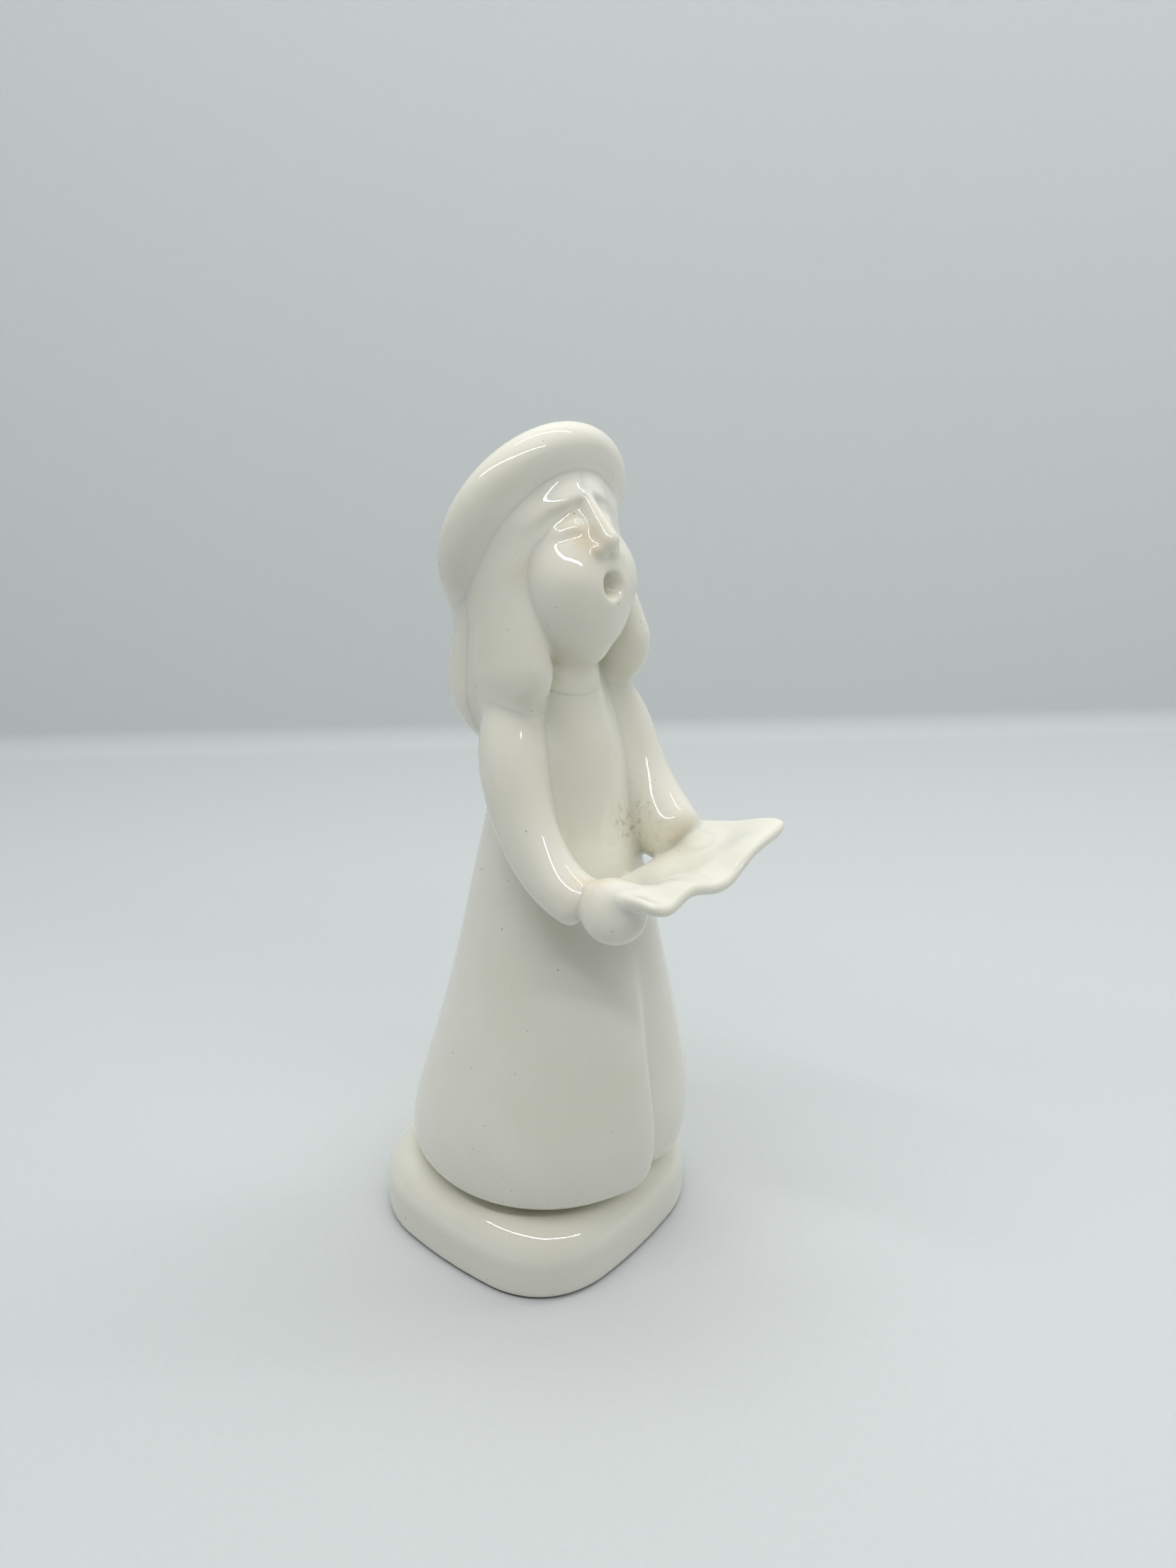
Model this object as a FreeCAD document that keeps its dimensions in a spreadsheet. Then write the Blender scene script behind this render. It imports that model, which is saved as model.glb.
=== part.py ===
import FreeCAD, Part
import math
import os
import Sketcher

# A glazed ceramic choir-angel figurine, hand built from luted pieces.
# Millimetres, +Z up.  The origin is on the underside of the base, below the figure.
# The figure faces -Y, and its own left is +X.

# ---------------------------------------------------------------- dimensions

SIZES = {
    # pebble-shaped base: a square with bowed sides and round corners
    "baseX": 1.5,
    "baseY": 1.8,
    "baseHalfWidth": 22.8,
    "baseSideRadius": 80.0,
    "baseCornerRadius": 17.0,
    "baseHeight": 12.0,
    "baseShoulder": 5.6,
    "baseFoot": 1.2,
    "baseTurn": 4.1,
    # shallow seat for the robe, and the firing vent that opens into the robe
    "seatX": 3.17,
    "seatY": 0.75,
    "seatRadius": 17.0,
    "seatDepth": 0.6,
    "ventRadius": 1.5,
    "ventOffset": 9.0,
    # robe
    "robeWall": 3.2,
    "hemRoll": 4.4,
    "footWidth": 3.5,
    "foldAngle": 5.0,
    "foldDepth": 1.9,
    "foldTop": 56.0,
    "foldRadius": 3.0,
    "foldTopDepth": 0.1,
    "foldTopRadius": 2.1,
    # neck joint
    "neckX": 3.6,
    "neckY": -1.2,
    "neckRadius": 5.0,
    "spigotRadius": 3.2,
    "spigotLength": 4.0,
    "spigotOverlap": 2.0,
    # sleeves
    "sleeveKey": 0.8,
    "wristRadius": 2.4,
    "wristLength": 4.0,
    "wristReach": 2.5,
    # halo
    "haloRing": 12.75,
    "haloTube": 3.0,
    "haloTilt": -61.0,
    "haloRoll": 5.0,
    # song sheet
    "sheetThickness": 2.0,
    "sheetEdge": 0.8,
    "sheetCorner": 2.0,
    "sheetRoom": 8.0,
}

# Robe sections from the hem to the collar: height, radius, centre X, centre Y.
ROBE = {
    "robeHem": (12.7, 22.6, 3.17, 0.75),
    "robeSkirt": (18.4, 23.0, 3.30, 0.19),
    "robeHip": (24.0, 22.5, 3.48, -0.61),
    "robeLow": (31.0, 20.95, 3.62, -1.29),
    "robeMiddle": (47.0, 17.1, 3.80, -2.09),
    "robeWaist": (65.0, 13.05, 3.83, -2.20),
    "robeChest": (80.0, 9.9, 3.78, -1.98),
    "robeShoulder": (88.0, 8.6, 3.68, -1.50),
    "robeCollar": (96.0, 5.8, 3.60, -1.20),
}
CAVITY_TOP = "robeChest"

# Right sleeve from the shoulder to the cuff: X, Y, Z, radius.
SLEEVE = {
    "armShoulder": (-5.4, -2.0, 91.4, 4.0),
    "armUpper": (-7.7, -4.0, 86.0, 4.6),
    "armMiddle": (-8.9, -6.9, 79.0, 4.4),
    "armElbow": (-9.2, -10.8, 72.9, 4.2),
    "armFore": (-9.0, -14.8, 69.4, 4.0),
    "armCuff": (-8.4, -19.2, 67.4, 3.8),
}
SHARED = {
    "bodyMiddle": 3.8,
    "leftCuffRise": 3.4,
    "leftHandRise": 2.2,
}
# The left sleeve's rise grows from the shoulder to the cuff by this power of the way along.
RISE_POWER = 1.5

# Ellipsoids: centre X, Y, Z, then half width, half depth, half height.
# The pairs of hair locks and hands are mirrored about bodyMiddle.
ELLIPSOIDS = {
    "face": (3.6, -3.0, 110.0, 8.8, 9.5, 12.2),
    "nose": (3.6, -12.2, 114.6, 1.3, 1.5, 2.6),
    "mouth": (3.6, -12.6, 108.6, 1.8, 2.6, 1.85),
    "crown": (3.7, 0.8, 113.6, 10.4, 10.2, 12.2),
    "lock": (-5.3, -1.6, 104.6, 4.0, 6.5, 13.2),
    "nape": (3.7, 5.0, 101.8, 11.4, 8.4, 14.4),
    "halo": (3.8, 2.2, 116.2, 0.0, 0.0, 0.0),
    "hand": (-7.8, -23.7, 67.4, 4.2, 4.7, 3.9),
}
FACE_TILT = -8.0

# The hair is divided in front of and behind HAIR_SPLIT_Y, inside one roomy block.
HAIR_SPLIT_Y = 4.0
HAIR_LOW = (-30, -30, 80)
HAIR_HIGH = (40, 40, 140)

# Song sheet: three rows of points from the back to the front of the open pages.  Each row has
# an outer edge, the lowest line of a page, the spine, the other page and its outer edge.  The
# rows run past the outline, which then trims them.
SHEET_ROWS = [
    [(-13, -14, 70.2), (-3.2, -14, 68.2), (5.4, -14, 66.6), (11.8, -14, 68.4), (21, -14, 73.0)],
    [(-13, -25, 72.6), (-3.6, -25, 70.6), (7.3, -25, 69.8), (13.8, -25, 71.0), (21, -25, 75.0)],
    [(-13, -35, 75.4), (-4.2, -35, 73.2), (9.4, -35, 72.6), (15.0, -35, 73.2), (21, -35, 76.0)],
]
SHEET_OUTLINE = [(-7.6, -18.8), (5.6, -15.8), (18.0, -18.6), (19.6, -32.6), (9.0, -33.2), (-10.6, -32.8)]


# How far a cutting tool runs past what it cuts, and how near counts as touching.
CLEAR = 1.0
NEAR = 0.01
LEAST_CUT_VOLUME = 0.1
# Radius every sketched circle is drawn with before its own rule sizes it.
DRAWN_RADIUS = 5.0


def all_dimensions():
    """Every driving dimension as one alias and one plain number."""
    table = dict(SIZES)
    table.update(SHARED)
    for name, (height, radius, x, y) in ROBE.items():
        table.update({name + "Height": height, name + "Radius": radius, name + "X": x, name + "Y": y})
    for name, (x, y, z, radius) in SLEEVE.items():
        table.update({name + "X": x, name + "Y": y, name + "Z": z, name + "Radius": radius})
    for name, (x, y, z, wide, deep, tall) in ELLIPSOIDS.items():
        table.update({name + "X": x, name + "Y": y, name + "Z": z})
        if wide:
            table.update({name + "Wide": wide, name + "Deep": deep, name + "Tall": tall})
    return table


def make_sheet(doc, table):
    sheet = doc.addObject("Spreadsheet::Sheet", "Dimensions")
    for row, (alias, value) in enumerate(table.items(), start=1):
        sheet.set(f"A{row}", alias)
        sheet.set(f"B{row}", str(value))
        sheet.setAlias(f"B{row}", alias)
    doc.recompute()
    return sheet


def bind(target, path, formula):
    """Drive one property from the sheet; names in braces are aliases."""
    words = formula.replace("{", "Dimensions.").replace("}", "")
    target.setExpression(path, words)


# ------------------------------------------------------------ sketch helpers

def origin_plane(body, role):
    for feature in body.Origin.OriginFeatures:
        if feature.Role == role:
            return feature
    raise RuntimeError("no origin plane " + role)


def flat_sketch(body, name, x, y, z):
    """A sketch on the body's XY plane, moved to formulas x, y and z."""
    sketch = body.newObject("Sketcher::SketchObject", name)
    sketch.AttachmentSupport = [(origin_plane(body, "XY_Plane"), "")]
    sketch.MapMode = "FlatFace"
    bind(sketch, "AttachmentOffset.Base.x", x)
    bind(sketch, "AttachmentOffset.Base.y", y)
    bind(sketch, "AttachmentOffset.Base.z", z)
    return sketch


def circle_sketch(body, name, x, y, z, radius):
    """A circle about the sketch's own origin, with its radius driven by a formula."""
    sketch = flat_sketch(body, name, x, y, z)
    start = Part.Circle(FreeCAD.Vector(0, 0, 0), FreeCAD.Vector(0, 0, 1), DRAWN_RADIUS)
    circle = sketch.addGeometry(start, False)
    sketch.addConstraint(Sketcher.Constraint("Coincident", circle, 3, -1, 1))
    rule = sketch.addConstraint(Sketcher.Constraint("Radius", circle, DRAWN_RADIUS))
    bind(sketch, f"Constraints[{rule}]", radius)
    return sketch


def loft(body, kind, name, sections):
    feature = body.newObject("PartDesign::" + kind, name)
    feature.Profile = sections[0]
    feature.Sections = sections[1:]
    feature.Ruled = False
    return feature


def pocket(body, name, sketch, depth, reverse=False):
    feature = body.newObject("PartDesign::Pocket", name)
    feature.Profile = sketch
    feature.Reversed = reverse
    bind(feature, "Length", depth)
    return feature


def edges_at_height(shape, height):
    """Names of the edges that lie in one horizontal plane."""
    found = []
    for number, edge in enumerate(shape.Edges, start=1):
        box = edge.BoundBox
        if abs(box.ZMin - height) < NEAR and abs(box.ZMax - height) < NEAR:
            found.append((number, edge))
    return found


def fillet(body, name, base, numbers, radius):
    feature = body.newObject("PartDesign::Fillet", name)
    feature.Base = (base, [f"Edge{number}" for number in numbers])
    bind(feature, "Radius", radius)
    return feature


def require_less_each_time(*features):
    """Every feature after the first has to remove material from the one before it."""
    for before, after in zip(features, features[1:]):
        if after.Shape.Volume > before.Shape.Volume - LEAST_CUT_VOLUME:
            raise RuntimeError(after.Name + " removed nothing")


# -------------------------------------------------------- primitive helpers

def cut_away(doc, name, base, tools):
    """Cut the tools from the base one after another; the last cut carries the name."""
    result = base
    for number, tool in enumerate(tools, start=1):
        last = number == len(tools)
        cut = doc.addObject("Part::Cut", name if last else f"{name}Step{number}")
        cut.Base = result
        cut.Tool = tool
        result = cut
    return result


def place(item, x, y, z):
    bind(item, "Placement.Base.x", x)
    bind(item, "Placement.Base.y", y)
    bind(item, "Placement.Base.z", z)


def ellipsoid(doc, name, size, mirrored=False, lift="0"):
    """An ellipsoid from the sheet; a mirrored one stands on the figure's left."""
    item = doc.addObject("Part::Ellipsoid", name)
    item.Angle1 = -90
    bind(item, "Radius1", "{" + size + "Tall}")
    bind(item, "Radius2", "{" + size + "Wide}")
    bind(item, "Radius3", "{" + size + "Deep}")
    x = "2 * {bodyMiddle} - {" + size + "X}" if mirrored else "{" + size + "X}"
    place(item, x, "{" + size + "Y}", "{" + size + "Z} + " + lift)
    return item


# -------------------------------------------------------------------- base

def base_outline(sketch, sizes):
    """Four bowed sides and four round corners, all tangent, sized by constraints."""
    half, side, corner = (sizes[k] for k in ("baseHalfWidth", "baseSideRadius", "baseCornerRadius"))
    back_off = half - side
    reach = math.sqrt(2 * (side - corner) ** 2 - back_off ** 2)
    corner_at = (back_off + reach) / 2
    sweep = math.atan2(corner_at, corner_at - back_off)
    arcs = []
    for quarter in range(4):
        turn = quarter * math.pi / 2
        cos, sin = math.cos(turn), math.sin(turn)
        centre = FreeCAD.Vector(back_off * cos, back_off * sin, 0)
        circle = Part.Circle(centre, FreeCAD.Vector(0, 0, 1), side)
        arcs.append(sketch.addGeometry(Part.ArcOfCircle(circle, turn - sweep, turn + sweep), False))
        centre = FreeCAD.Vector(corner_at * (cos - sin), corner_at * (sin + cos), 0)
        circle = Part.Circle(centre, FreeCAD.Vector(0, 0, 1), corner)
        first, last = turn + sweep, turn + math.pi / 2 - sweep
        arcs.append(sketch.addGeometry(Part.ArcOfCircle(circle, first, last), False))
    for index, arc in enumerate(arcs):
        after = arcs[(index + 1) % len(arcs)]
        sketch.addConstraint(Sketcher.Constraint("Tangent", arc, 2, after, 1))
    for quarter in range(4):
        on_axis = -1 if quarter % 2 == 0 else -2
        sketch.addConstraint(Sketcher.Constraint("PointOnObject", arcs[2 * quarter], 3, on_axis))
    for offset, radius, alias in ((0, side, "baseSideRadius"), (1, corner, "baseCornerRadius")):
        rule = sketch.addConstraint(Sketcher.Constraint("Radius", arcs[offset], radius))
        bind(sketch, f"Constraints[{rule}]", "{" + alias + "}")
        for quarter in range(1, 4):
            same = Sketcher.Constraint("Equal", arcs[offset], arcs[2 * quarter + offset])
            sketch.addConstraint(same)
    spans = (("DistanceX", 0, 4), ("DistanceY", 2, 6))
    for kind, near, far in spans:
        for first, last in ((arcs[near], None), (None, arcs[far])):
            ends = (first, 3, -1, 1) if last is None else (-1, 1, last, 3)
            rule = sketch.addConstraint(Sketcher.Constraint(kind, *ends, side - half))
            bind(sketch, f"Constraints[{rule}]", "{baseSideRadius} - {baseHalfWidth}")


def make_base(doc, sizes):
    body = doc.addObject("PartDesign::Body", "Base")
    body.Label = "base"
    outline = flat_sketch(body, "BaseOutline", "0", "0", "0")
    turn = FreeCAD.Rotation(FreeCAD.Vector(0, 0, 1), sizes["baseTurn"])
    middle = FreeCAD.Vector(sizes["baseX"], sizes["baseY"], 0)
    outline.AttachmentOffset = FreeCAD.Placement(middle, turn)
    bind(outline, "AttachmentOffset.Base.x", "{baseX}")
    bind(outline, "AttachmentOffset.Base.y", "{baseY}")
    bind(outline, "AttachmentOffset.Rotation.Angle", "{baseTurn} * 1deg")
    base_outline(outline, sizes)
    slab = body.newObject("PartDesign::Pad", "BaseSlab")
    slab.Profile = outline
    bind(slab, "Length", "{baseHeight}")
    doc.recompute()
    top = [number for number, _ in edges_at_height(slab.Shape, sizes["baseHeight"])]
    shoulder = fillet(body, "BaseShoulder", slab, top, "{baseShoulder}")
    doc.recompute()
    bottom = [number for number, _ in edges_at_height(shoulder.Shape, 0.0)]
    foot = fillet(body, "BaseFoot", shoulder, bottom, "{baseFoot}")
    doc.recompute()
    circle = circle_sketch(body, "RobeSeatCircle", "{seatX}", "{seatY}", "{baseHeight}", "{seatRadius}")
    seat = pocket(body, "RobeSeat", circle, "{seatDepth}")
    circle = circle_sketch(body, "VentCircle", "{seatX}", "{seatY} + {ventOffset}", "{baseHeight}",
                           "{ventRadius}")
    vent = pocket(body, "Vent", circle, "{baseHeight} + " + str(CLEAR))
    doc.recompute()
    require_less_each_time(slab, shoulder, foot, seat, vent)
    return body


# -------------------------------------------------------------------- robe

def robe_sections(body, prefix, names, shrink):
    """One circle for each named robe section, smaller by the formula shrink."""
    sections = []
    for name in names:
        sections.append(circle_sketch(body, prefix + name.removeprefix("robe"), "{" + name + "X}", "{" + name + "Y}",
                                      "{" + name + "Height}", "{" + name + "Radius} - " + shrink))
    return sections


def make_robe_body(doc, sizes):
    """The thrown cone: outer skin, hollow inside, rolled hem, front fold and neck socket."""
    body = doc.addObject("PartDesign::Body", "RobeBody")
    names = list(ROBE)
    foot_ring = circle_sketch(body, "FootCircle", "{seatX}", "{seatY}", "{baseHeight} - {seatDepth}",
                              "{seatRadius}")
    skin = loft(body, "AdditiveLoft", "RobeSkin", robe_sections(body, "Skin", names, "0"))
    doc.recompute()
    inner = robe_sections(body, "Inner", names[1:names.index(CAVITY_TOP) + 1], "{robeWall}")
    mouth = circle_sketch(body, "InnerMouth", "{robeHemX}", "{robeHemY}", "{robeHemHeight}",
                          "{robeHemRadius} - {robeWall} - {hemRoll}")
    hollow = loft(body, "SubtractiveLoft", "RobeHollow", [mouth] + inner)
    doc.recompute()
    hem = max(edges_at_height(hollow.Shape, ROBE["robeHem"][0]), key=lambda found: found[1].Length)
    roll = fillet(body, "HemRoll", hollow, [hem[0]], "{hemRoll}")
    doc.recompute()

    side, front = "sin({foldAngle} * 1deg)", "cos({foldAngle} * 1deg)"
    reach = "({robeHemRadius} + {foldRadius} - {foldDepth})"
    low = circle_sketch(body, "FoldLow", "{robeHemX} + " + reach + " * " + side,
                        "{robeHemY} - " + reach + " * " + front, "{robeHemHeight}", "{foldRadius}")
    reach = "({robeMiddleRadius} + {foldTopRadius} - {foldTopDepth})"
    high = circle_sketch(body, "FoldHigh", "{robeMiddleX} + " + reach + " * " + side,
                         "{robeMiddleY} - " + reach + " * " + front, "{foldTop}", "{foldTopRadius}")
    fold = loft(body, "SubtractiveLoft", "FrontFold", [low, high])
    doc.recompute()

    rise = "{robeHemHeight} - {baseHeight} + {seatDepth}"
    foot = body.newObject("PartDesign::Pad", "RobeFoot")
    foot.Profile = foot_ring
    bind(foot, "Length", rise)
    opening = circle_sketch(body, "FootOpening", "{seatX}", "{seatY}", "{baseHeight} - {seatDepth}",
                            "{seatRadius} - {footWidth}")
    doc.recompute()
    foot_hollow = pocket(body, "FootHollow", opening, rise, True)
    doc.recompute()

    neck = circle_sketch(body, "NeckSocketCircle", "{neckX}", "{neckY}", "{robeCollarHeight}",
                         "{spigotRadius}")
    socket = pocket(body, "NeckSocket", neck, "{spigotLength}")
    doc.recompute()
    require_less_each_time(skin, hollow, roll, fold)
    require_less_each_time(foot, foot_hollow, socket)
    return body


def make_robe_core(doc):
    """The robe's outer skin less the key depth: sleeves are cut back to it."""
    rings = []
    for name in ROBE:
        ring = doc.addObject("Part::Circle", "Core" + name.removeprefix("robe"))
        bind(ring, "Radius", "{" + name + "Radius} - {sleeveKey}")
        place(ring, "{" + name + "X}", "{" + name + "Y}", "{" + name + "Height}")
        rings.append(ring)
    core = doc.addObject("Part::Loft", "RobeCore")
    core.Sections = rings
    core.Solid = True
    core.Ruled = False
    return core


# ------------------------------------------------------------------- sleeves

def rise_share(index):
    """How much of the left cuff's rise one sleeve section takes."""
    return round((index / (len(SLEEVE) - 1)) ** RISE_POWER, 4)


def sleeve_points(mirrored):
    """Section centres along one sleeve; the left cuff is held a little higher."""
    points = []
    for index, (x, y, z, _) in enumerate(SLEEVE.values()):
        rise = SHARED["leftCuffRise"] * rise_share(index) if mirrored else 0.0
        across = 2 * SHARED["bodyMiddle"] - x if mirrored else x
        points.append(FreeCAD.Vector(across, y, z + rise))
    return points


def uphill(points, index):
    """Direction of the sleeve at one section, pointing back up to the shoulder."""
    before = points[max(index - 1, 0)]
    after = points[min(index + 1, len(points) - 1)]
    return (before - after).normalize()


def make_sleeve_solid(doc, side, mirrored):
    points = sleeve_points(mirrored)
    rings = []
    for index, name in enumerate(SLEEVE):
        ring = doc.addObject("Part::Circle", side + "Sleeve" + name.removeprefix("arm"))
        bind(ring, "Radius", "{" + name + "Radius}")
        turn = FreeCAD.Rotation(FreeCAD.Vector(0, 0, 1), uphill(points, index))
        ring.Placement = FreeCAD.Placement(points[index], turn)
        x = "2 * {bodyMiddle} - {" + name + "X}" if mirrored else "{" + name + "X}"
        rise = " + {leftCuffRise} * " + str(rise_share(index)) if mirrored else ""
        place(ring, x, "{" + name + "Y}", "{" + name + "Z}" + rise)
        rings.append(ring)
    solid = doc.addObject("Part::Loft", side + "SleeveSolid")
    solid.Sections = rings
    solid.Solid = True
    solid.Ruled = False
    return solid


def make_wrist(doc, side, mirrored):
    """The wrist stub: it starts inside the cuff and ends inside the hand."""
    points = sleeve_points(mirrored)
    forward = uphill(points, len(points) - 1) * -1
    wrist = doc.addObject("Part::Cylinder", side + "Wrist")
    bind(wrist, "Radius", "{wristRadius}")
    bind(wrist, "Height", "{wristLength} + {wristReach}")
    start = points[-1] - forward * SIZES["wristLength"]
    wrist.Placement = FreeCAD.Placement(start, FreeCAD.Rotation(FreeCAD.Vector(0, 0, 1), forward))
    return wrist


# ---------------------------------------------------------------- song sheet

def is_upright(edge):
    box = edge.BoundBox
    return box.XLength < NEAR and box.YLength < NEAR


def make_song_sheet(doc, sizes):
    """A rolled-out slab of clay, draped in an open-book wave and trimmed to its outline.

    It comes with the room above it, which the hands are cut to so that it rests on the palms.
    """
    grid = [[FreeCAD.Vector(*point) for point in row] for row in SHEET_ROWS]
    surface = Part.BSplineSurface()
    surface.interpolate(grid)
    thickness = FreeCAD.Vector(0, 0, -sizes["sheetThickness"])
    slab = surface.toShape().extrude(thickness)
    low = slab.BoundBox.ZMin - CLEAR
    corners = [FreeCAD.Vector(x, y, low) for x, y in SHEET_OUTLINE]
    outline = Part.Face(Part.makePolygon(corners + corners[:1]))
    cutter = outline.extrude(FreeCAD.Vector(0, 0, slab.BoundBox.ZLength + 2 * CLEAR))
    cutter = cutter.makeFillet(sizes["sheetCorner"], [e for e in cutter.Edges if is_upright(e)])
    slab = slab.common(cutter)
    slab = slab.makeFillet(sizes["sheetEdge"], [e for e in slab.Edges if not is_upright(e)])
    item = doc.addObject("Part::Feature", "SongSheet")
    item.Shape = slab
    item.Placement = FreeCAD.Placement()
    item.Label = "song_sheet"
    room = doc.addObject("Part::Feature", "SheetRoom")
    above = surface.toShape().extrude(FreeCAD.Vector(0, 0, sizes["sheetRoom"]))
    room.Shape = above.fuse(surface.toShape().extrude(thickness)).common(cutter)
    room.Placement = FreeCAD.Placement()
    return item, room


# ---------------------------------------------------------------- head, hair

def make_head(doc, halo):
    face = ellipsoid(doc, "Face", "face")
    face.Placement.Rotation = FreeCAD.Rotation(FreeCAD.Vector(1, 0, 0), FACE_TILT)
    nose = ellipsoid(doc, "Nose", "nose")
    neck = doc.addObject("Part::Cylinder", "Neck")
    bind(neck, "Radius", "{neckRadius}")
    bind(neck, "Height", "{faceZ} - {robeCollarHeight}")
    place(neck, "{neckX}", "{neckY}", "{robeCollarHeight}")
    spigot = doc.addObject("Part::Cylinder", "NeckSpigot")
    bind(spigot, "Radius", "{spigotRadius}")
    bind(spigot, "Height", "{spigotLength} + {spigotOverlap}")
    place(spigot, "{neckX}", "{neckY}", "{robeCollarHeight} - {spigotLength}")
    skull = doc.addObject("Part::MultiFuse", "Skull")
    skull.Shapes = [face, nose, neck, spigot]
    mouth = ellipsoid(doc, "MouthHollow", "mouth")
    head = cut_away(doc, "Head", skull, [mouth, halo])
    head.Label = "head"
    return head


def make_halo(doc):
    halo = doc.addObject("Part::Torus", "Halo")
    bind(halo, "Radius1", "{haloRing}")
    bind(halo, "Radius2", "{haloTube}")
    tilt = FreeCAD.Rotation(FreeCAD.Vector(1, 0, 0), SIZES["haloTilt"])
    roll = FreeCAD.Rotation(FreeCAD.Vector(0, 1, 0), SIZES["haloRoll"])
    halo.Placement = FreeCAD.Placement(FreeCAD.Vector(0, 0, 0), roll.multiply(tilt))
    place(halo, "{haloX}", "{haloY}", "{haloZ}")
    halo.Label = "halo"
    return halo


def half_space(doc, name, low, high):
    """A box between two corners, used to divide the crown between three pieces of hair."""
    box = doc.addObject("Part::Box", name)
    box.Length, box.Width, box.Height = (h - l for h, l in zip(high, low))
    box.Placement.Base = FreeCAD.Vector(*low)
    return box


def make_hair(doc, head, halo, robe, sleeves):
    """Nape piece first, then a side lock with half of the parted fringe on each side."""
    middle = SHARED["bodyMiddle"]
    (x0, y0, z0), (x1, y1, z1) = HAIR_LOW, HAIR_HIGH
    spaces = {
        "Back": half_space(doc, "BackSpace", (x0, HAIR_SPLIT_Y, z0), (x1, y1, z1)),
        "Right": half_space(doc, "RightSpace", (x0, y0, z0), (middle, HAIR_SPLIT_Y, z1)),
        "Left": half_space(doc, "LeftSpace", (middle, y0, z0), (x1, HAIR_SPLIT_Y, z1)),
    }
    crown = {}
    for side, space in spaces.items():
        crown[side] = doc.addObject("Part::Common", side + "Crown")
        crown[side].Base = ellipsoid(doc, side + "CrownWhole", "crown")
        crown[side].Tool = space
    mass = doc.addObject("Part::MultiFuse", "BackMass")
    mass.Shapes = [crown["Back"], ellipsoid(doc, "Nape", "nape")]
    back = cut_away(doc, "HairBack", mass, [head, halo, robe] + list(sleeves.values()))
    back.Label = "hair_back"
    pieces = [back]
    for side, mirrored in (("Right", False), ("Left", True)):
        mass = doc.addObject("Part::MultiFuse", side + "Mass")
        mass.Shapes = [crown[side], ellipsoid(doc, side + "Lock", "lock", mirrored)]
        lock = cut_away(doc, "Hair" + side, mass, [head, halo, robe, back, sleeves[side]])
        lock.Label = "hair_" + side.lower()
        pieces.append(lock)
    return pieces


# ------------------------------------------------------------------ assembly

def build():
    doc = FreeCAD.newDocument("AngelFigurine")
    make_sheet(doc, all_dimensions())
    base = make_base(doc, SIZES)
    robe_body = make_robe_body(doc, SIZES)
    core = make_robe_core(doc)
    song_sheet, sheet_room = make_song_sheet(doc, SIZES)

    sleeves, hands = {}, []
    for side, mirrored in (("Right", False), ("Left", True)):
        solid = make_sleeve_solid(doc, side, mirrored)
        wrist = make_wrist(doc, side, mirrored)
        sleeve = cut_away(doc, side + "Sleeve", solid, [core, wrist, song_sheet])
        sleeve.Label = "sleeve_" + side.lower()
        sleeves[side] = sleeve
        lift = "{leftHandRise}" if mirrored else "0"
        ball = ellipsoid(doc, side + "HandBall", "hand", mirrored, lift)
        palm = cut_away(doc, side + "Palm", ball, [solid])
        joined = doc.addObject("Part::Fuse", side + "HandWhole")
        joined.Base, joined.Tool = palm, wrist
        hand = cut_away(doc, side + "Hand", joined, [sheet_room])
        hand.Label = "hand_" + side.lower()
        hands.append(hand)

    robe = cut_away(doc, "Robe", robe_body, list(sleeves.values()))
    robe.Label = "robe"
    halo = make_halo(doc)
    head = make_head(doc, halo)
    hair = make_hair(doc, head, halo, robe, sleeves)
    doc.recompute()
    return doc, [base, robe, head, halo, *hair, *sleeves.values(), *hands, song_sheet]


def check(doc, nodes):
    for item in doc.Objects:
        if {"Invalid", "Error"} & set(item.State):
            raise RuntimeError(f"{item.Name} failed: {item.State}")
    for node in nodes:
        if node.Shape.isNull() or not node.Shape.isValid() or not node.Shape.Solids:
            raise RuntimeError(f"{node.Label} has no valid solid")


document, figure = build()
check(document, figure)
os.makedirs("parts", exist_ok=True)
for piece in figure:
    piece.Shape.exportStep(f"parts/{piece.Label}.step")
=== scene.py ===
"""The singing angel figurine, in white glossy glaze, built around its CAD frame.

The figure faces -Y, its left is +X and up is +Z. Its shape is worked out in millimetres:
each piece is a signed distance field, below 0 inside the piece. The fields of neighbours
join softly, because one coat of glaze runs over them all, and the joined surface is then
divided into one closed mesh for each piece. The stage, lights and camera are in metres.
"""

import math

import bpy
import numpy as np
from mathutils import Matrix, Vector


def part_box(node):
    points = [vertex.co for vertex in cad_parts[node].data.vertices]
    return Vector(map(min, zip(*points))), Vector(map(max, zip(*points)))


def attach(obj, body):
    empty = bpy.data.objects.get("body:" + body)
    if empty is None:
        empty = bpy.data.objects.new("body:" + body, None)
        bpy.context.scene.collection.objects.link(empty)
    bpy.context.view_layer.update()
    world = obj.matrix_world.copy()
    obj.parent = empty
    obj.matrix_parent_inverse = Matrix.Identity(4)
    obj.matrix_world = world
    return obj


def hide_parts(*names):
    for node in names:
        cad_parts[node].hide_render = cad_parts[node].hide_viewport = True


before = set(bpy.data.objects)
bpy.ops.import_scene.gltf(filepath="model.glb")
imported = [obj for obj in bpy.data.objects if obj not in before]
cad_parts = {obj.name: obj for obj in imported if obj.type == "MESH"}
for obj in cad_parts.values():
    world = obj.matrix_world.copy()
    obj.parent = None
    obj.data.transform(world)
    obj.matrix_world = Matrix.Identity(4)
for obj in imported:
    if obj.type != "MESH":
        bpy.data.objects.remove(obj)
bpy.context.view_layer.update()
MM = 0.001
COARSE = 1.0

RIGHT_SIDE, LEFT_SIDE = -1, 1
# x of the plane between the figure's right and left halves
MIDDLE = 3.8


def box_mm(node):
    low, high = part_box(node)
    return np.array(low) / MM, np.array(high) / MM


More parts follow.
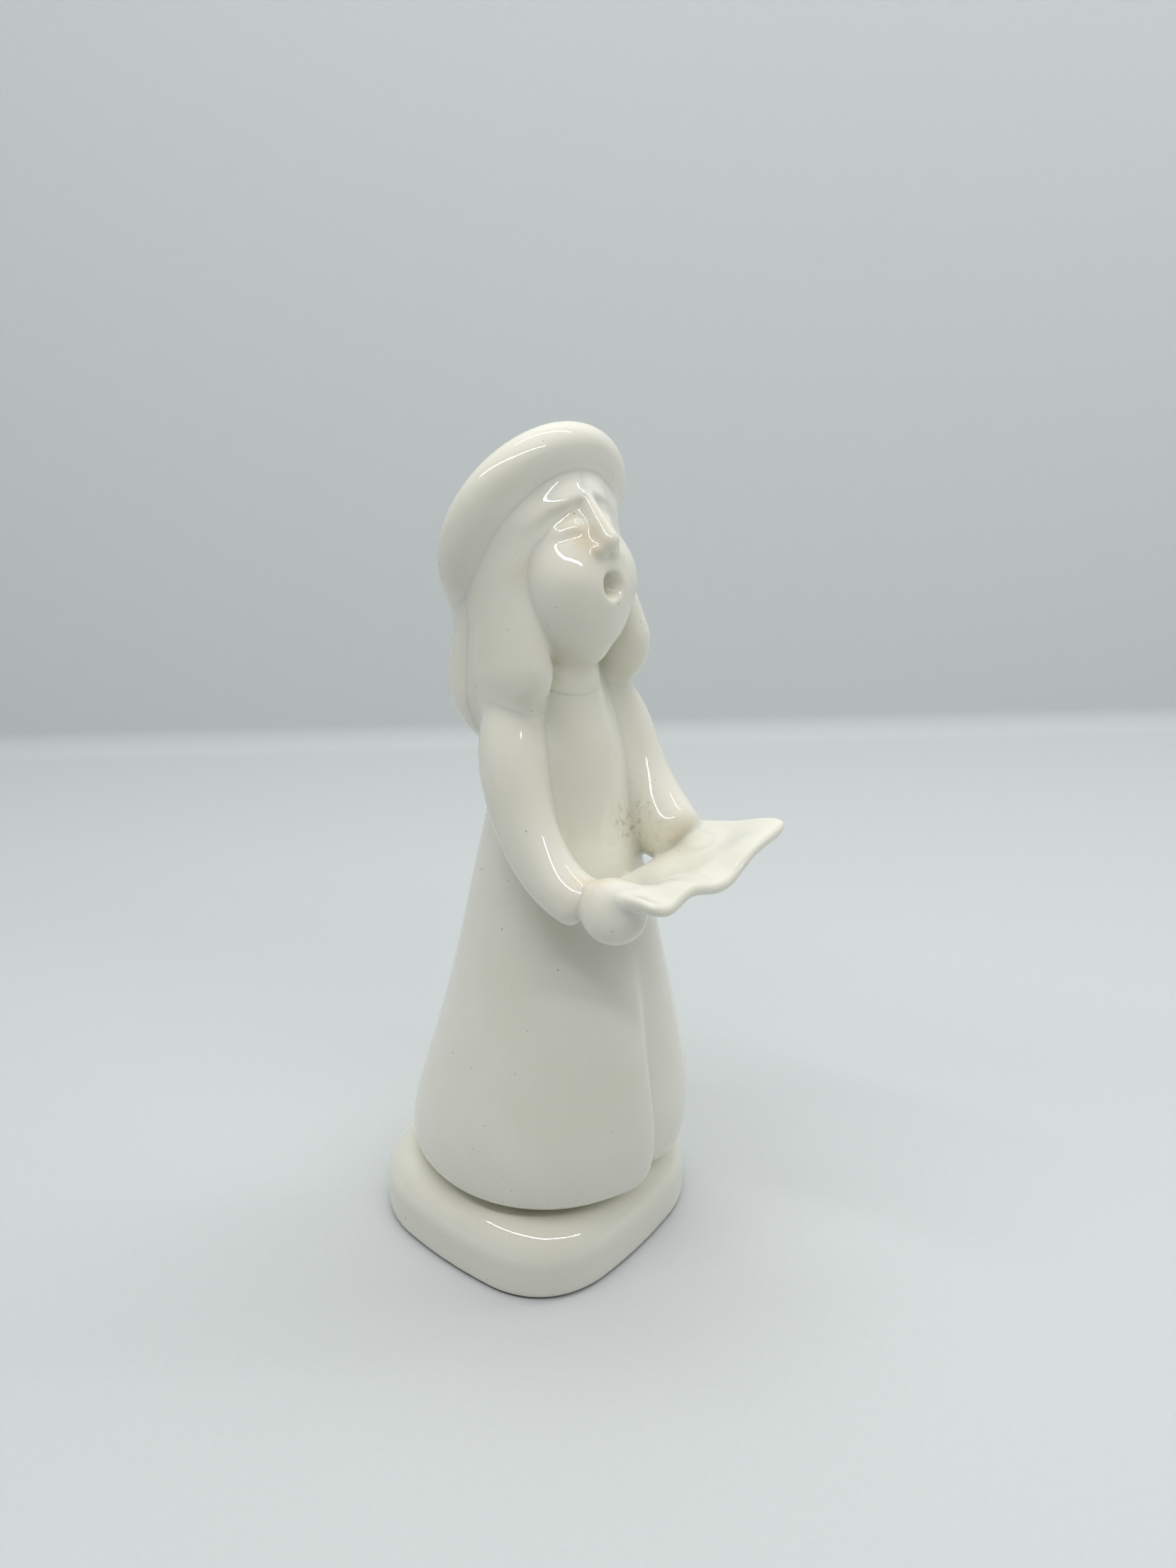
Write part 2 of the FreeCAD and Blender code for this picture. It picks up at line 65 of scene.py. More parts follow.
# ------------------------------------------------------------------ distance fields

class Grid:
    """Sample points of a box. x, y and z broadcast against each other."""

    def __init__(self, low, high, step):
        self.low = np.array(low, float)
        self.step = step
        counts = np.ceil((np.array(high, float) - self.low) / step).astype(int) + 1
        axes = [self.low[i] + step * np.arange(counts[i]) for i in range(3)]
        self.x, self.y, self.z = np.meshgrid(*axes, indexing="ij", sparse=True)
        self.shape = tuple(counts)

    def full(self, field):
        return np.broadcast_to(field, self.shape).astype(np.float32)


def smin(a, b, k):
    """The two shapes together, with a soft join about k wide."""
    h = np.maximum(k - np.abs(a - b), 0) / k
    return np.minimum(a, b) - h * h * k * 0.25


def smax(a, b, k):
    """What the two shapes share, with its edges softened over k."""
    return -smin(-a, -b, k)


def ease(value, start, end):
    """0 at start, 1 at end, with a smooth run between them."""
    t = np.clip((value - start) / (end - start), 0, 1)
    return t * t * (3 - 2 * t)


def hump(along, width, power=2):
    """A hump 1 high at 0 that fades over width."""
    return np.exp(-(np.abs(along) / width) ** power)


def ellipsoid(p, centre, radii):
    u = [(p[i] - centre[i]) / radii[i] for i in range(3)]
    near = np.sqrt(u[0] ** 2 + u[1] ** 2 + u[2] ** 2)
    slope = np.sqrt((u[0] / radii[0]) ** 2 + (u[1] / radii[1]) ** 2 + (u[2] / radii[2]) ** 2)
    return near * (near - 1) / np.maximum(slope, 1e-6)


def cone(p, a, b, ra, rb):
    """A rod with round ends whose radius goes from ra to rb."""
    ab = [b[i] - a[i] for i in range(3)]
    t = sum((p[i] - a[i]) * ab[i] for i in range(3)) / sum(v * v for v in ab)
    t = np.clip(t, 0, 1)
    away = sum((p[i] - a[i] - t * ab[i]) ** 2 for i in range(3))
    return np.sqrt(away) - (ra + (rb - ra) * t)


def spline(knots, values, at):
    """Natural cubic spline through the knots."""
    n = len(knots)
    h = np.diff(knots)
    m = np.zeros((n, n))
    rhs = np.zeros(n)
    m[0, 0] = m[-1, -1] = 1
    for i in range(1, n - 1):
        m[i, i - 1:i + 2] = h[i - 1], 2 * (h[i - 1] + h[i]), h[i]
        rhs[i] = 6 * ((values[i + 1] - values[i]) / h[i] - (values[i] - values[i - 1]) / h[i - 1])
    c = np.linalg.solve(m, rhs)
    at = np.clip(at, knots[0], knots[-1])
    i = np.clip(np.searchsorted(knots, at) - 1, 0, n - 2)
    k = np.array(knots, float)
    v = np.array(values, float)
    a = (k[i + 1] - at) / h[i]
    b = (at - k[i]) / h[i]
    return a * v[i] + b * v[i + 1] + ((a ** 3 - a) * c[i] + (b ** 3 - b) * c[i + 1]) * h[i] ** 2 / 6


def rounded(side, end, radius):
    """The corner where two faces meet, rounded; side and end are distances past each face."""
    s = side + radius
    e = end + radius
    outside = np.sqrt(np.maximum(s, 0) ** 2 + np.maximum(e, 0) ** 2)
    return outside + np.minimum(np.maximum(s, e), 0) - radius


def blur(field, sigma):
    """Gaussian smoothing, sigma in cells."""
    reach = max(1, int(math.ceil(3 * sigma)))
    weights = np.exp(-0.5 * (np.arange(-reach, reach + 1) / sigma) ** 2)
    weights = (weights / weights.sum()).astype(np.float32)
    for axis in range(field.ndim):
        pads = [(0, 0)] * field.ndim
        pads[axis] = (reach, reach)
        wide = np.pad(field, pads, mode="edge")
        out = np.zeros_like(field)
        for i, w in enumerate(weights):
            cut = [slice(None)] * field.ndim
            cut[axis] = slice(i, i + field.shape[axis])
            out += w * wide[tuple(cut)]
        field = out
    return field


# ------------------------------------------------------------------ base

BASE_CENTRE = (1.5, 1.8)
BASE_TURN = math.radians(4.1)
BASE_HALF_WIDTH = 22.8
BASE_SIDE_RADIUS = 80.0
BASE_CORNER_BLEND = 10.0
BASE_SHOULDER = 5.6
BASE_FOOT = 1.2
# the robe's foot ring stands round this point, and the vent is behind it
FOOT_CENTRE = (3.17, 0.75)
VENT_PLACE = (3.17, 9.75)
VENT_RADIUS = 1.5
VENT_EDGE = 0.5


def base_field(g):
    low, high = box_mm("base")
    c, s = math.cos(BASE_TURN), math.sin(BASE_TURN)
    x = g.x - BASE_CENTRE[0]
    y = g.y - BASE_CENTRE[1]
    u = x * c + y * s
    v = -x * s + y * c
    shift = BASE_SIDE_RADIUS - BASE_HALF_WIDTH
    bowed_u = np.sqrt((np.abs(u) + shift) ** 2 + v * v) - BASE_SIDE_RADIUS
    bowed_v = np.sqrt((np.abs(v) + shift) ** 2 + u * u) - BASE_SIDE_RADIUS
    side = smax(bowed_u, bowed_v, BASE_CORNER_BLEND)
    top = rounded(side, g.z - high[2], BASE_SHOULDER)
    foot = rounded(side, low[2] - g.z, BASE_FOOT)
    vent = np.sqrt((g.x - VENT_PLACE[0]) ** 2 + (g.y - VENT_PLACE[1]) ** 2) - VENT_RADIUS
    return smax(np.maximum(top, foot), -vent, VENT_EDGE)


# ------------------------------------------------------------------ robe

# height, radius, and the centre's x and y, from the hem to the neck
ROBE = [(12.7, 22.6, 3.17, 0.75), (18.4, 23.0, 3.30, 0.19), (24, 22.5, 3.48, -0.61),
        (31, 20.95, 3.62, -1.29), (47, 17.1, 3.80, -2.09), (65, 13.05, 3.83, -2.20),
        (80, 9.9, 3.78, -1.98), (88, 8.6, 3.68, -1.5), (96, 5.8, 3.6, -1.2)]
ROBE_TOP_BLEND = 2.0
HEM_ROLL = 4.4
# the fold runs down the front from FOLD_TOP, where it starts, to FOLD_DEEP, where it is full
FOLD_ANGLE = math.radians(3.5)
FOLD_TOP = 60
FOLD_DEEP = 26
FOLD_DEPTH = 1.9
LIP_WIDTH = 1.1
BAY_WIDTH = 5.5
BAY_POWER = 1.6
SWELL_HEIGHT = 0.35
SWELL_WIDTH = 3.0
SWELL_OFFSET = 4
# the hem rises where the fold ends
HEM_RISE = 2.0
HEM_RISE_WIDTH = 2.2
RING_RADIUS = 16.8
RING_EDGE = 0.3
RING_TOP = 18
RING_JOIN = 0.6


def robe_field(g):
    rows = np.array(ROBE)
    z = g.z
    r, cx, cy = (spline(rows[:, 0], rows[:, i], z) for i in (1, 2, 3))
    slope = np.gradient(r.ravel(), g.step).reshape(r.shape)
    x = g.x - cx
    y = g.y - cy
    rho = np.sqrt(x * x + y * y)
    angle = np.arctan2(x, -y)
    # a lip on the right half's edge laps over the left half
    along = r * (angle - FOLD_ANGLE)
    down = ease(z, FOLD_TOP, FOLD_DEEP)
    lip_and_bay = np.where(along < 0, hump(along, LIP_WIDTH), hump(along, BAY_WIDTH, BAY_POWER))
    groove = FOLD_DEPTH * down * lip_and_bay
    swell = SWELL_HEIGHT * down * hump(along + SWELL_OFFSET, SWELL_WIDTH)
    wall = (rho - r + groove - swell) / np.sqrt(1 + slope ** 2)
    hem = ROBE[0][0] + HEM_RISE * hump(along, HEM_RISE_WIDTH)
    bell = rounded(wall, hem - z, HEM_ROLL)
    bell = smax(bell, z - ROBE[-1][0], ROBE_TOP_BLEND)
    from_centre = np.sqrt((g.x - FOOT_CENTRE[0]) ** 2 + (g.y - FOOT_CENTRE[1]) ** 2)
    ring = rounded(from_centre - RING_RADIUS, box_mm("robe")[0][2] - z, RING_EDGE)
    ring = np.maximum(ring, z - RING_TOP)
    return smin(bell, ring, RING_JOIN)


# ------------------------------------------------------------------ sleeves

# x, y, z and radius of the right sleeve's middle line, from the shoulder to the cuff
SLEEVE = [(-5.4, -2, 91.4, 4.0), (-7.7, -4, 86, 4.6), (-8.9, -6.9, 79, 4.4), (-9.2, -10.8, 72.9, 4.2),
          (-9.0, -14.8, 69.4, 4.0), (-8.4, -19.2, 67.4, 3.8)]
# the left sleeve is the right one mirrored and raised towards the cuff, with these changes at each point
LEFT_RISE = 3.4
LEFT_RISE_POWER = 1.5
LEFT_INWARD = [0, 0.5, 1.5, 2.2, 2.5, 2.6]
LEFT_BACKWARD = [0, 0, 0, 0, 0.3, 1.2]
LEFT_DOWN = [0, 0, 0, 0.3, 0.6, 0.8]
LEFT_FULLER = [0, 0.1, 0.6, 1.0, 1.2, 1.0]
SLEEVE_POINTS = 25
# a sleeve's field is worked out in a box SLEEVE_REACH round its middle line, and is FAR elsewhere
SLEEVE_REACH = 9
FAR = 6.0
CUFF_PAST_END = 0.4
CUFF_EDGE = 2.2
SLEEVE_SOFTNESS = 0.5


def sleeve_path(side):
    """Points and radii along one sleeve's middle line."""
    rows = np.array(SLEEVE)
    run = np.r_[0, np.cumsum(np.linalg.norm(np.diff(rows[:, :3], axis=0), axis=1))]
    if side == LEFT_SIDE:
        rows[:, 0] = 2 * MIDDLE - rows[:, 0]
        rows[:, 2] += LEFT_RISE * (run / run[-1]) ** LEFT_RISE_POWER
        rows[:, 0] -= LEFT_INWARD
        rows[:, 1] += LEFT_BACKWARD
        rows[:, 2] -= LEFT_DOWN
        rows[:, 3] += LEFT_FULLER
    at = np.linspace(0, run[-1], SLEEVE_POINTS)
    return np.stack([spline(run, rows[:, i], at) for i in range(4)], axis=1)


def sleeve_field(g, side):
    path = sleeve_path(side)
    low = path[:, :3].min(0) - SLEEVE_REACH
    high = path[:, :3].max(0) + SLEEVE_REACH
    out = np.full(g.shape, FAR, np.float32)
    cut = []
    for i, axis in enumerate((g.x, g.y, g.z)):
        inside = np.flatnonzero((axis.ravel() > low[i]) & (axis.ravel() < high[i]))
        if not len(inside):
            return out
        cut.append(slice(inside[0], inside[-1] + 1))
    p = (g.x[cut[0]], g.y[:, cut[1]], g.z[:, :, cut[2]])
    near = FAR
    for a, b in zip(path[:-1], path[1:]):
        near = np.minimum(near, cone(p, a, b, a[3], b[3]))
    end = path[-1]
    way = (end - path[-3])[:3]
    way = way / np.linalg.norm(way)
    cuff = sum((p[i] - end[i]) * way[i] for i in range(3)) - CUFF_PAST_END
    near = smax(near, cuff, CUFF_EDGE)
    near = np.minimum(near, FAR).astype(np.float32)
    out[cut[0], cut[1], cut[2]] = blur(near, SLEEVE_SOFTNESS / g.step)
    return out


# ------------------------------------------------------------------ song sheet and hands

# heights of the sheet's top along three waved lines across it, at SHEET_Y
SHEET_Y = (-14.0, -25.0, -35.0)
SHEET_X = [(-13, -3.2, 5.4, 11.8, 21), (-13, -3.7, 7.4, 13.4, 21), (-13, -4.2, 9.4, 15, 21)]
SHEET_Z = [(70.2, 68.2, 66.6, 68.4, 73), (72.6, 70.6, 69.8, 71, 75), (75.4, 73.2, 72.6, 73.2, 76)]
# heights of the rippled front edge, midway through the sheet's thickness
FRONT_X = [-13, -9, -6.2, -3.2, -0.8, 3.7, 6.7, 9.2, 11.7, 14.4, 18.4, 21]
FRONT_Z = [74.0, 71.9, 71.2, 72.7, 72.2, 70.8, 71.2, 72.9, 73.8, 74.2, 74.6, 75.6]
# the front edge's heights fade in between these distances in front of the origin
FRONT_START = 23.5
FRONT_FULL = 33.0
SHEET_OUTLINE = [(-7.6, -18.8), (5.6, -15.8), (18, -18.6), (19.6, -32.6), (9, -33.2), (-10.6, -32.8)]
# the three lines are followed between these y, and held past them
SHEET_Y_RANGE = (-37, -12)
SHEET_HALF_THICK = 1.0
SHEET_OVERHANG = 0.5
SHEET_EDGE = 0.95
SHEET_WAVE_SOFTNESS = 1.2
SHEET_CORNER_SOFTNESS = 0.9


def sheet_height(x, y, step):
    """Height of the sheet's middle, on a flat grid of x and y."""
    rows = [spline(SHEET_X[i], SHEET_Z[i], x[:, 0]) for i in range(3)]
    t = np.clip(y[0], *SHEET_Y_RANGE)
    weights = []
    for i in range(3):
        others = [j for j in range(3) if j != i]
        weights.append(np.prod([(t - SHEET_Y[j]) / (SHEET_Y[i] - SHEET_Y[j]) for j in others], axis=0))
    height = sum(rows[i][:, None] * weights[i][None, :] for i in range(3)) - SHEET_HALF_THICK
    front = ease(-y, FRONT_START, FRONT_FULL)
    height = height * (1 - front) + front * spline(FRONT_X, FRONT_Z, x)
    return blur(height, SHEET_WAVE_SOFTNESS / step)


def outline_distance(x, y, outline):
    """Distance from a closed outline, below 0 inside it."""
    away = np.inf
    inside = np.zeros(np.broadcast(x, y).shape, bool)
    corners = np.array(outline)
    for a, b in zip(corners, np.roll(corners, -1, axis=0)):
        ab = b - a
        t = np.clip(((x - a[0]) * ab[0] + (y - a[1]) * ab[1]) / (ab @ ab), 0, 1)
        away = np.minimum(away, np.hypot(x - a[0] - t * ab[0], y - a[1] - t * ab[1]))
        if a[1] != b[1]:
            inside ^= ((a[1] > y) != (b[1] > y)) & (x < ab[0] * (y - a[1]) / ab[1] + a[0])
    return np.where(inside, -away, away)


def sheet_field(g):
    x = g.x[:, :, 0]
    y = g.y[:, :, 0]
    height = sheet_height(x, y, g.step)
    edge = blur(outline_distance(x, y, SHEET_OUTLINE), SHEET_CORNER_SOFTNESS / g.step)
    gx, gy = np.gradient(height, g.step)
    steep = np.sqrt(1 + gx ** 2 + gy ** 2)
    flat = (np.abs(g.z - height[:, :, None]) - SHEET_HALF_THICK) / steep[:, :, None]
    return rounded(edge[:, :, None] - SHEET_OVERHANG, flat, SHEET_EDGE)


# each palm's centre and radii
PALMS = {RIGHT_SIDE: ((-7.6, -23.6, 68.0), (4.4, 4.9, 4.6)),
         LEFT_SIDE: ((2 * MIDDLE + 7.4, -23.2, 68.2), (4.0, 4.6, 3.2))}
WRIST_RADII = (2.8, 2.6)
WRIST_OUT, WRIST_BACK, WRIST_UP = 0.4, 6.5, 0.6
WRIST_JOIN = 1.0


def hand_field(g, side):
    centre, radii = PALMS[side]
    p = (g.x, g.y, g.z)
    cuff = np.array(centre) + np.array([WRIST_OUT * side, WRIST_BACK, WRIST_UP])
    wrist = cone(p, centre, cuff, *WRIST_RADII)
    return smin(ellipsoid(p, centre, radii), wrist, WRIST_JOIN)


# ------------------------------------------------------------------ head, in axes that tilt with it

TILT = math.radians(8)
FACE = np.array([3.6, -3.0, 110.0])


def head_axes(g):
    c, s = math.cos(TILT), math.sin(TILT)
    dy = g.y - FACE[1]
    dz = g.z - FACE[2]
    return g.x - FACE[0], dy * c - dz * s, dy * s + dz * c


def face_field(g):
    """Places are from the middle of the head, and those in q stand for both sides of it.

    The last number of each smin and smax is how soft that join or edge is.
    """
    p = head_axes(g)
    q = (np.abs(p[0]), p[1], p[2])
    skull = ellipsoid(p, (0, 0, 0), (8.8, 9.5, 12.2))
    jaw = ellipsoid(p, (0, -2.0, -4.6), (8.1, 7.6, 7.9))
    cheeks = ellipsoid(q, (3.8, -5.0, -1.0), (4.4, 4.0, 4.6))
    f = smin(smin(skull, jaw, 2.0), cheeks, 3.0)
    # the eye's hollow is under the fringe beside the bridge, with the closed lid in it
    eye_hollows = cone(q, (2.3, -8.8, 8.4), (5.6, -7.5, 6.4), 1.6, 1.2)
    eyelids = cone(q, (3.0, -6.8, 6.3), (4.9, -5.6, 5.7), 0.8, 0.7)
    f = smin(smax(f, -eye_hollows, 1.5), eyelids, 1.2)
    nose = cone(p, (0, -6.6, 9.8), (0, -9.8, 4.2), 0.8, 1.6)
    nostrils = ellipsoid(q, (1.2, -9.2, 3.1), (1.2, 1.2, 1.0))
    f = smin(smin(f, nose, 1.1), nostrils, 0.5)
    lips = ellipsoid(p, (0, -8.3, -2.2), (2.9, 1.8, 3.0))
    mouth = ellipsoid(p, (0, -10.5, -1.8), (1.8, 2.5, 2.0))
    f = smax(smin(f, lips, 1.6), -mouth, 0.6)
    chin = ellipsoid(p, (0, -4.2, -10.9), (2.2, 2.2, 1.8))
    return smin(f, chin, 1.6)


NECK_LOW, NECK_LOW_RADIUS = (3.6, -2.0, 91), 6.0
NECK_HIGH, NECK_HIGH_RADIUS = (3.6, -4.0, 100), 4.8


def neck_field(g):
    return cone((g.x, g.y, g.z), NECK_LOW, NECK_HIGH, NECK_LOW_RADIUS, NECK_HIGH_RADIUS)


# ------------------------------------------------------------------ hair and halo

# height of the fringe's lower edge on the face: highest at the parting, where it is rounded
FRINGE_TOP = 10.2
FRINGE_FALL = 0.30
PARTING_ROUND = 0.8
FRINGE_THICKNESS = 0.85
FRINGE_EDGE = 1.8
NAPE_DEPTH = 0.8
NAPE_BOTTOM = 81.4
NAPE_EDGE = 3.0


def hair_field(g):
    """Crown, fringe and nape, without the two side locks."""
    crown = ellipsoid((g.x, g.y, g.z), (3.7, 0.8, 113.6), (10.4, 10.2, 12.2))
    q = head_axes(g)
    shell = ellipsoid(q, (0, -0.4, 1.4), (10.0, 9.95, 12.4))
    fringe_line = FRINGE_TOP - FRINGE_FALL * np.sqrt(q[0] * q[0] + PARTING_ROUND)
    fringe = smax(shell, (fringe_line - q[2]) * FRINGE_THICKNESS, FRINGE_EDGE)
    p = (g.x, g.y / NAPE_DEPTH, g.z)
    nape = cone(p, (3.7, 3.2 / NAPE_DEPTH, 112), (3.7, 4.8 / NAPE_DEPTH, 94.2), 10.2, 12.3)
    nape = smax(nape, NAPE_BOTTOM - g.z, NAPE_EDGE)
    return smin(smin(crown, fringe, 1.0), nape, 1.5)


# a lock hangs from LOCK_ROOT to its end; x is the distance out from MIDDLE, and the last number a radius
LOCK_ROOT = (8.4, 0.3, 116, 4.4)
LOCK_ENDS = {RIGHT_SIDE: (9.2, -2.2, 97.9, 7.0), LEFT_SIDE: (10.0, -3.2, 98.8, 7.2)}
LOCK_WIDTH = 0.62
# keeps the field of the squeezed lock close to a true distance
LOCK_SCALE = 0.8


def lock_field(g, side):
    out, front, low, size = LOCK_ENDS[side]
    root_out, root_front, root_high, root_size = LOCK_ROOT
    p = ((g.x - MIDDLE) * side / LOCK_WIDTH, g.y, g.z)
    root = (root_out / LOCK_WIDTH, root_front, root_high)
    end = (out / LOCK_WIDTH, front, low)
    return cone(p, root, end, root_size, size) * LOCK_SCALE


HALO_RING = 12.75
HALO_THICK = 3.0
HALO_TILT = math.radians(61)
HALO_ROLL = math.radians(5)


def turn(a, b, angle):
    """The point a, b turned about 0 by an angle."""
    return a * math.cos(angle) - b * math.sin(angle), a * math.sin(angle) + b * math.cos(angle)


def halo_field(g):
    low, high = box_mm("halo")
    centre = (low + high) / 2
    x, z = turn(g.x - centre[0], g.z - centre[2], HALO_ROLL)
    y, z = turn(g.y - centre[1], z, HALO_TILT)
    ring = np.sqrt(x * x + y * y) - HALO_RING
    return np.sqrt(ring ** 2 + z * z) - HALO_THICK


# ------------------------------------------------------------------ the whole figure

PIECES = ["base", "robe", "head", "halo", "hair_back", "hair_right", "hair_left", "sleeve_right",
          "sleeve_left", "hand_right", "hand_left", "song_sheet"]
# y of the plane between the nape and the side locks
HAIR_SPLIT = 4.0
GLAZE_SOFTNESS = 0.3
# how softly each of these runs into what it is joined to
JOIN = {"neck": 2.4, "sleeve_right": 3.0, "hand_right": 2.6, "hand_left": 2.0, "arms": 0.7, "hair": 1.2,
        "face": 0.7, "halo": 4.2, "head": 2.4, "base": 0.3}
# joins that soften upwards: softness low down, what height adds to it, and the heights it grows between
SLEEVE_LEFT_JOIN = (1.5, 2.0, 73, 84)
LOCK_JOIN = (1.0, 2.8, 102, 112)


def graded_join(z, low, more, start, end):
    return low + more * ease(z, start, end)


def figure(g):
    """Every piece's own field, and the glazed outside of them all together."""
    base = g.full(base_field(g))
    robe = g.full(robe_field(g))
    sleeves = [sleeve_field(g, side) for side in (RIGHT_SIDE, LEFT_SIDE)]
    hands = [g.full(hand_field(g, side)) for side in (RIGHT_SIDE, LEFT_SIDE)]
    sheet = g.full(sheet_field(g))
    face = g.full(smin(face_field(g), neck_field(g), JOIN["neck"]))
    hair = g.full(hair_field(g))
    locks = [g.full(lock_field(g, side)) for side in (RIGHT_SIDE, LEFT_SIDE)]
    halo = g.full(halo_field(g))

    body = smin(robe, sleeves[0], JOIN["sleeve_right"])
    body = smin(body, sleeves[1], graded_join(g.z, *SLEEVE_LEFT_JOIN))
    held = smin(smin(sheet, hands[0], JOIN["hand_right"]), hands[1], JOIN["hand_left"])
    body = smin(body, held, JOIN["arms"])
    # the locks part from the hair behind them low down, and run into it at the temples
    lock_join = graded_join(g.z, *LOCK_JOIN)
    head = smin(smin(hair, locks[0], lock_join), locks[1], lock_join)
    head = smin(head, face, JOIN["face"])
    head = smin(head, halo, JOIN["halo"])
    outside = smin(smin(body, head, JOIN["head"]), base, JOIN["base"])
    outside = blur(outside, GLAZE_SOFTNESS / g.step)

    every_hair = smin(smin(hair, locks[0], JOIN["hair"]), locks[1], JOIN["hair"])
    front_hair = np.maximum(every_hair, g.y - HAIR_SPLIT)
    own = {
        "base": base,
        "robe": robe,
        "head": face,
        "halo": halo,
        "hair_back": np.maximum(every_hair, HAIR_SPLIT - g.y),
        "hair_right": np.maximum(front_hair, g.x - MIDDLE),
        "hair_left": np.maximum(front_hair, MIDDLE - g.x),
        "sleeve_right": sleeves[0],
        "sleeve_left": sleeves[1],
        "hand_right": hands[0],
        "hand_left": hands[1],
        "song_sheet": sheet,
    }
    return np.stack([own[name] for name in PIECES]), outside


# ------------------------------------------------------------------ fields to closed meshes

CORNERS = [(i, j, k) for i in (0, 1) for j in (0, 1) for k in (0, 1)]
EDGES = [(a, b) for a in range(8) for b in range(a + 1, 8)
         if sum(abs(CORNERS[a][i] - CORNERS[b][i]) for i in range(3)) == 1]
SETTLE_STEPS = 5
# how far, in cells, a crossing stays from the ends of its edge
EDGE_MARGIN = 0.02
# how far, in cells, a corner may move from its start, and along a seam in one step
MOST_MOVE = 0.9
MOST_SEAM_MOVE = 0.5
# the least squared slopes that a move is worked out from
FLAT_SKIN = 0.05
FLAT_SEAM = 1e-3
# softness of the field whose curvature tells hollows, where glaze pools and shade is painted, from ridges
POOL_SOFTNESS = 0.9


def sample(field, q, which=()):
    """Reads a field between its samples, q in cells. which picks one field of a stack for each q."""
    i = np.clip(np.floor(q).astype(int), 0, np.array(field.shape[-3:]) - 2)
    f = (q - i).astype(np.float32)
    out = 0
    for c in CORNERS:
        w = np.prod([f[:, a] if c[a] else 1 - f[:, a] for a in range(3)], axis=0)
        out = out + w * field[(*which, i[:, 0] + c[0], i[:, 1] + c[1], i[:, 2] + c[2])]
    return out


def sample_slope(slopes, q):
    return np.stack([sample(d, q) for d in slopes], axis=1)


def corner_values(field, cells):
    at = [tuple((cells + c).T) for c in CORNERS]
    return np.stack([field[corner] for corner in at], axis=1)


def unit(v):
    return v / np.maximum(np.linalg.norm(v, axis=1, keepdims=True), 1e-9)


def mixed_cells(label):
    """Which cells have corners in more than one piece, or both in a piece and outside."""
    n = label.shape
    first = label[:-1, :-1, :-1]
    mixed = np.zeros(first.shape, bool)
    for c in CORNERS[1:]:
        mixed |= label[c[0]:n[0] - 1 + c[0], c[1]:n[1] - 1 + c[1], c[2]:n[2] - 1 + c[2]] != first
    return mixed


def first_corners(cells, tags, values):
    """A mesh corner in each mixed cell, in cells, and whether it is on the figure's skin."""
    crossings = np.zeros((len(cells), 3))
    crossing_count = np.zeros(len(cells))
    changes = np.zeros((len(cells), 3))
    change_count = np.zeros(len(cells))
    for a, b in EDGES:
        ca = np.array(CORNERS[a], float)
        cb = np.array(CORNERS[b], float)
        through = (tags[:, a] == 0) != (tags[:, b] == 0)
        drop = np.where(through, values[:, a] - values[:, b], 1)
        t = np.clip(values[:, a] / drop, EDGE_MARGIN, 1 - EDGE_MARGIN)
        crossings += np.where(through[:, None], ca + t[:, None] * (cb - ca), 0)
        crossing_count += through
        other = tags[:, a] != tags[:, b]
        changes += np.where(other[:, None], (ca + cb) / 2, 0)
        change_count += other
    skin = crossing_count > 0
    on_skin = crossings / np.maximum(crossing_count, 1)[:, None]
    return cells + np.where(skin[:, None], on_skin, changes / change_count[:, None]), skin


def seam_move(own, pair, normal, s):
    """How far seam corners move along the skin to where both pieces' own fields are equal."""
    gap = sample(own, s, (pair[:, 0],)) - sample(own, s, (pair[:, 1],))
    way = np.zeros_like(s)
    for axis in range(3):
        half_cell = np.zeros(3)
        half_cell[axis] = 0.5
        ahead = s + half_cell
        behind = s - half_cell
        way[:, axis] = (sample(own, ahead, (pair[:, 0],)) - sample(own, ahead, (pair[:, 1],))
                        - sample(own, behind, (pair[:, 0],)) + sample(own, behind, (pair[:, 1],)))
    way -= (way * normal).sum(1, keepdims=True) * normal
    size = (way ** 2).sum(1)
    move = np.where(size > FLAT_SEAM, -gap / np.maximum(size, FLAT_SEAM), 0)[:, None] * way
    return np.clip(move, -MOST_SEAM_MOVE, MOST_SEAM_MOVE)


def settle(q, skin, tags, own, outside, slopes, step):
    """Moves the skin's corners onto the glazed surface, and those on a seam along it too."""

    def skin_move():
        value = sample(outside, q[skin])
        slope = sample_slope(slopes, q[skin])
        return (value / np.maximum((slope ** 2).sum(1), FLAT_SKIN))[:, None] * slope / step

    start = q.copy()
    many = np.stack([(tags == m + 1).sum(1) for m in range(len(PIECES))], axis=1)
    pair = np.argsort(-many, axis=1, kind="stable")[:, :2]
    seam = skin & (np.take_along_axis(many, pair[:, 1:2], 1)[:, 0] > 0)
    for _ in range(SETTLE_STEPS):
        q[skin] -= skin_move()
        normal = unit(sample_slope(slopes, q[seam]))
        q[seam] += seam_move(own, pair[seam], normal, q[seam])
        q = start + np.clip(q - start, -MOST_MOVE, MOST_MOVE)
    q[skin] -= skin_move()
    return q


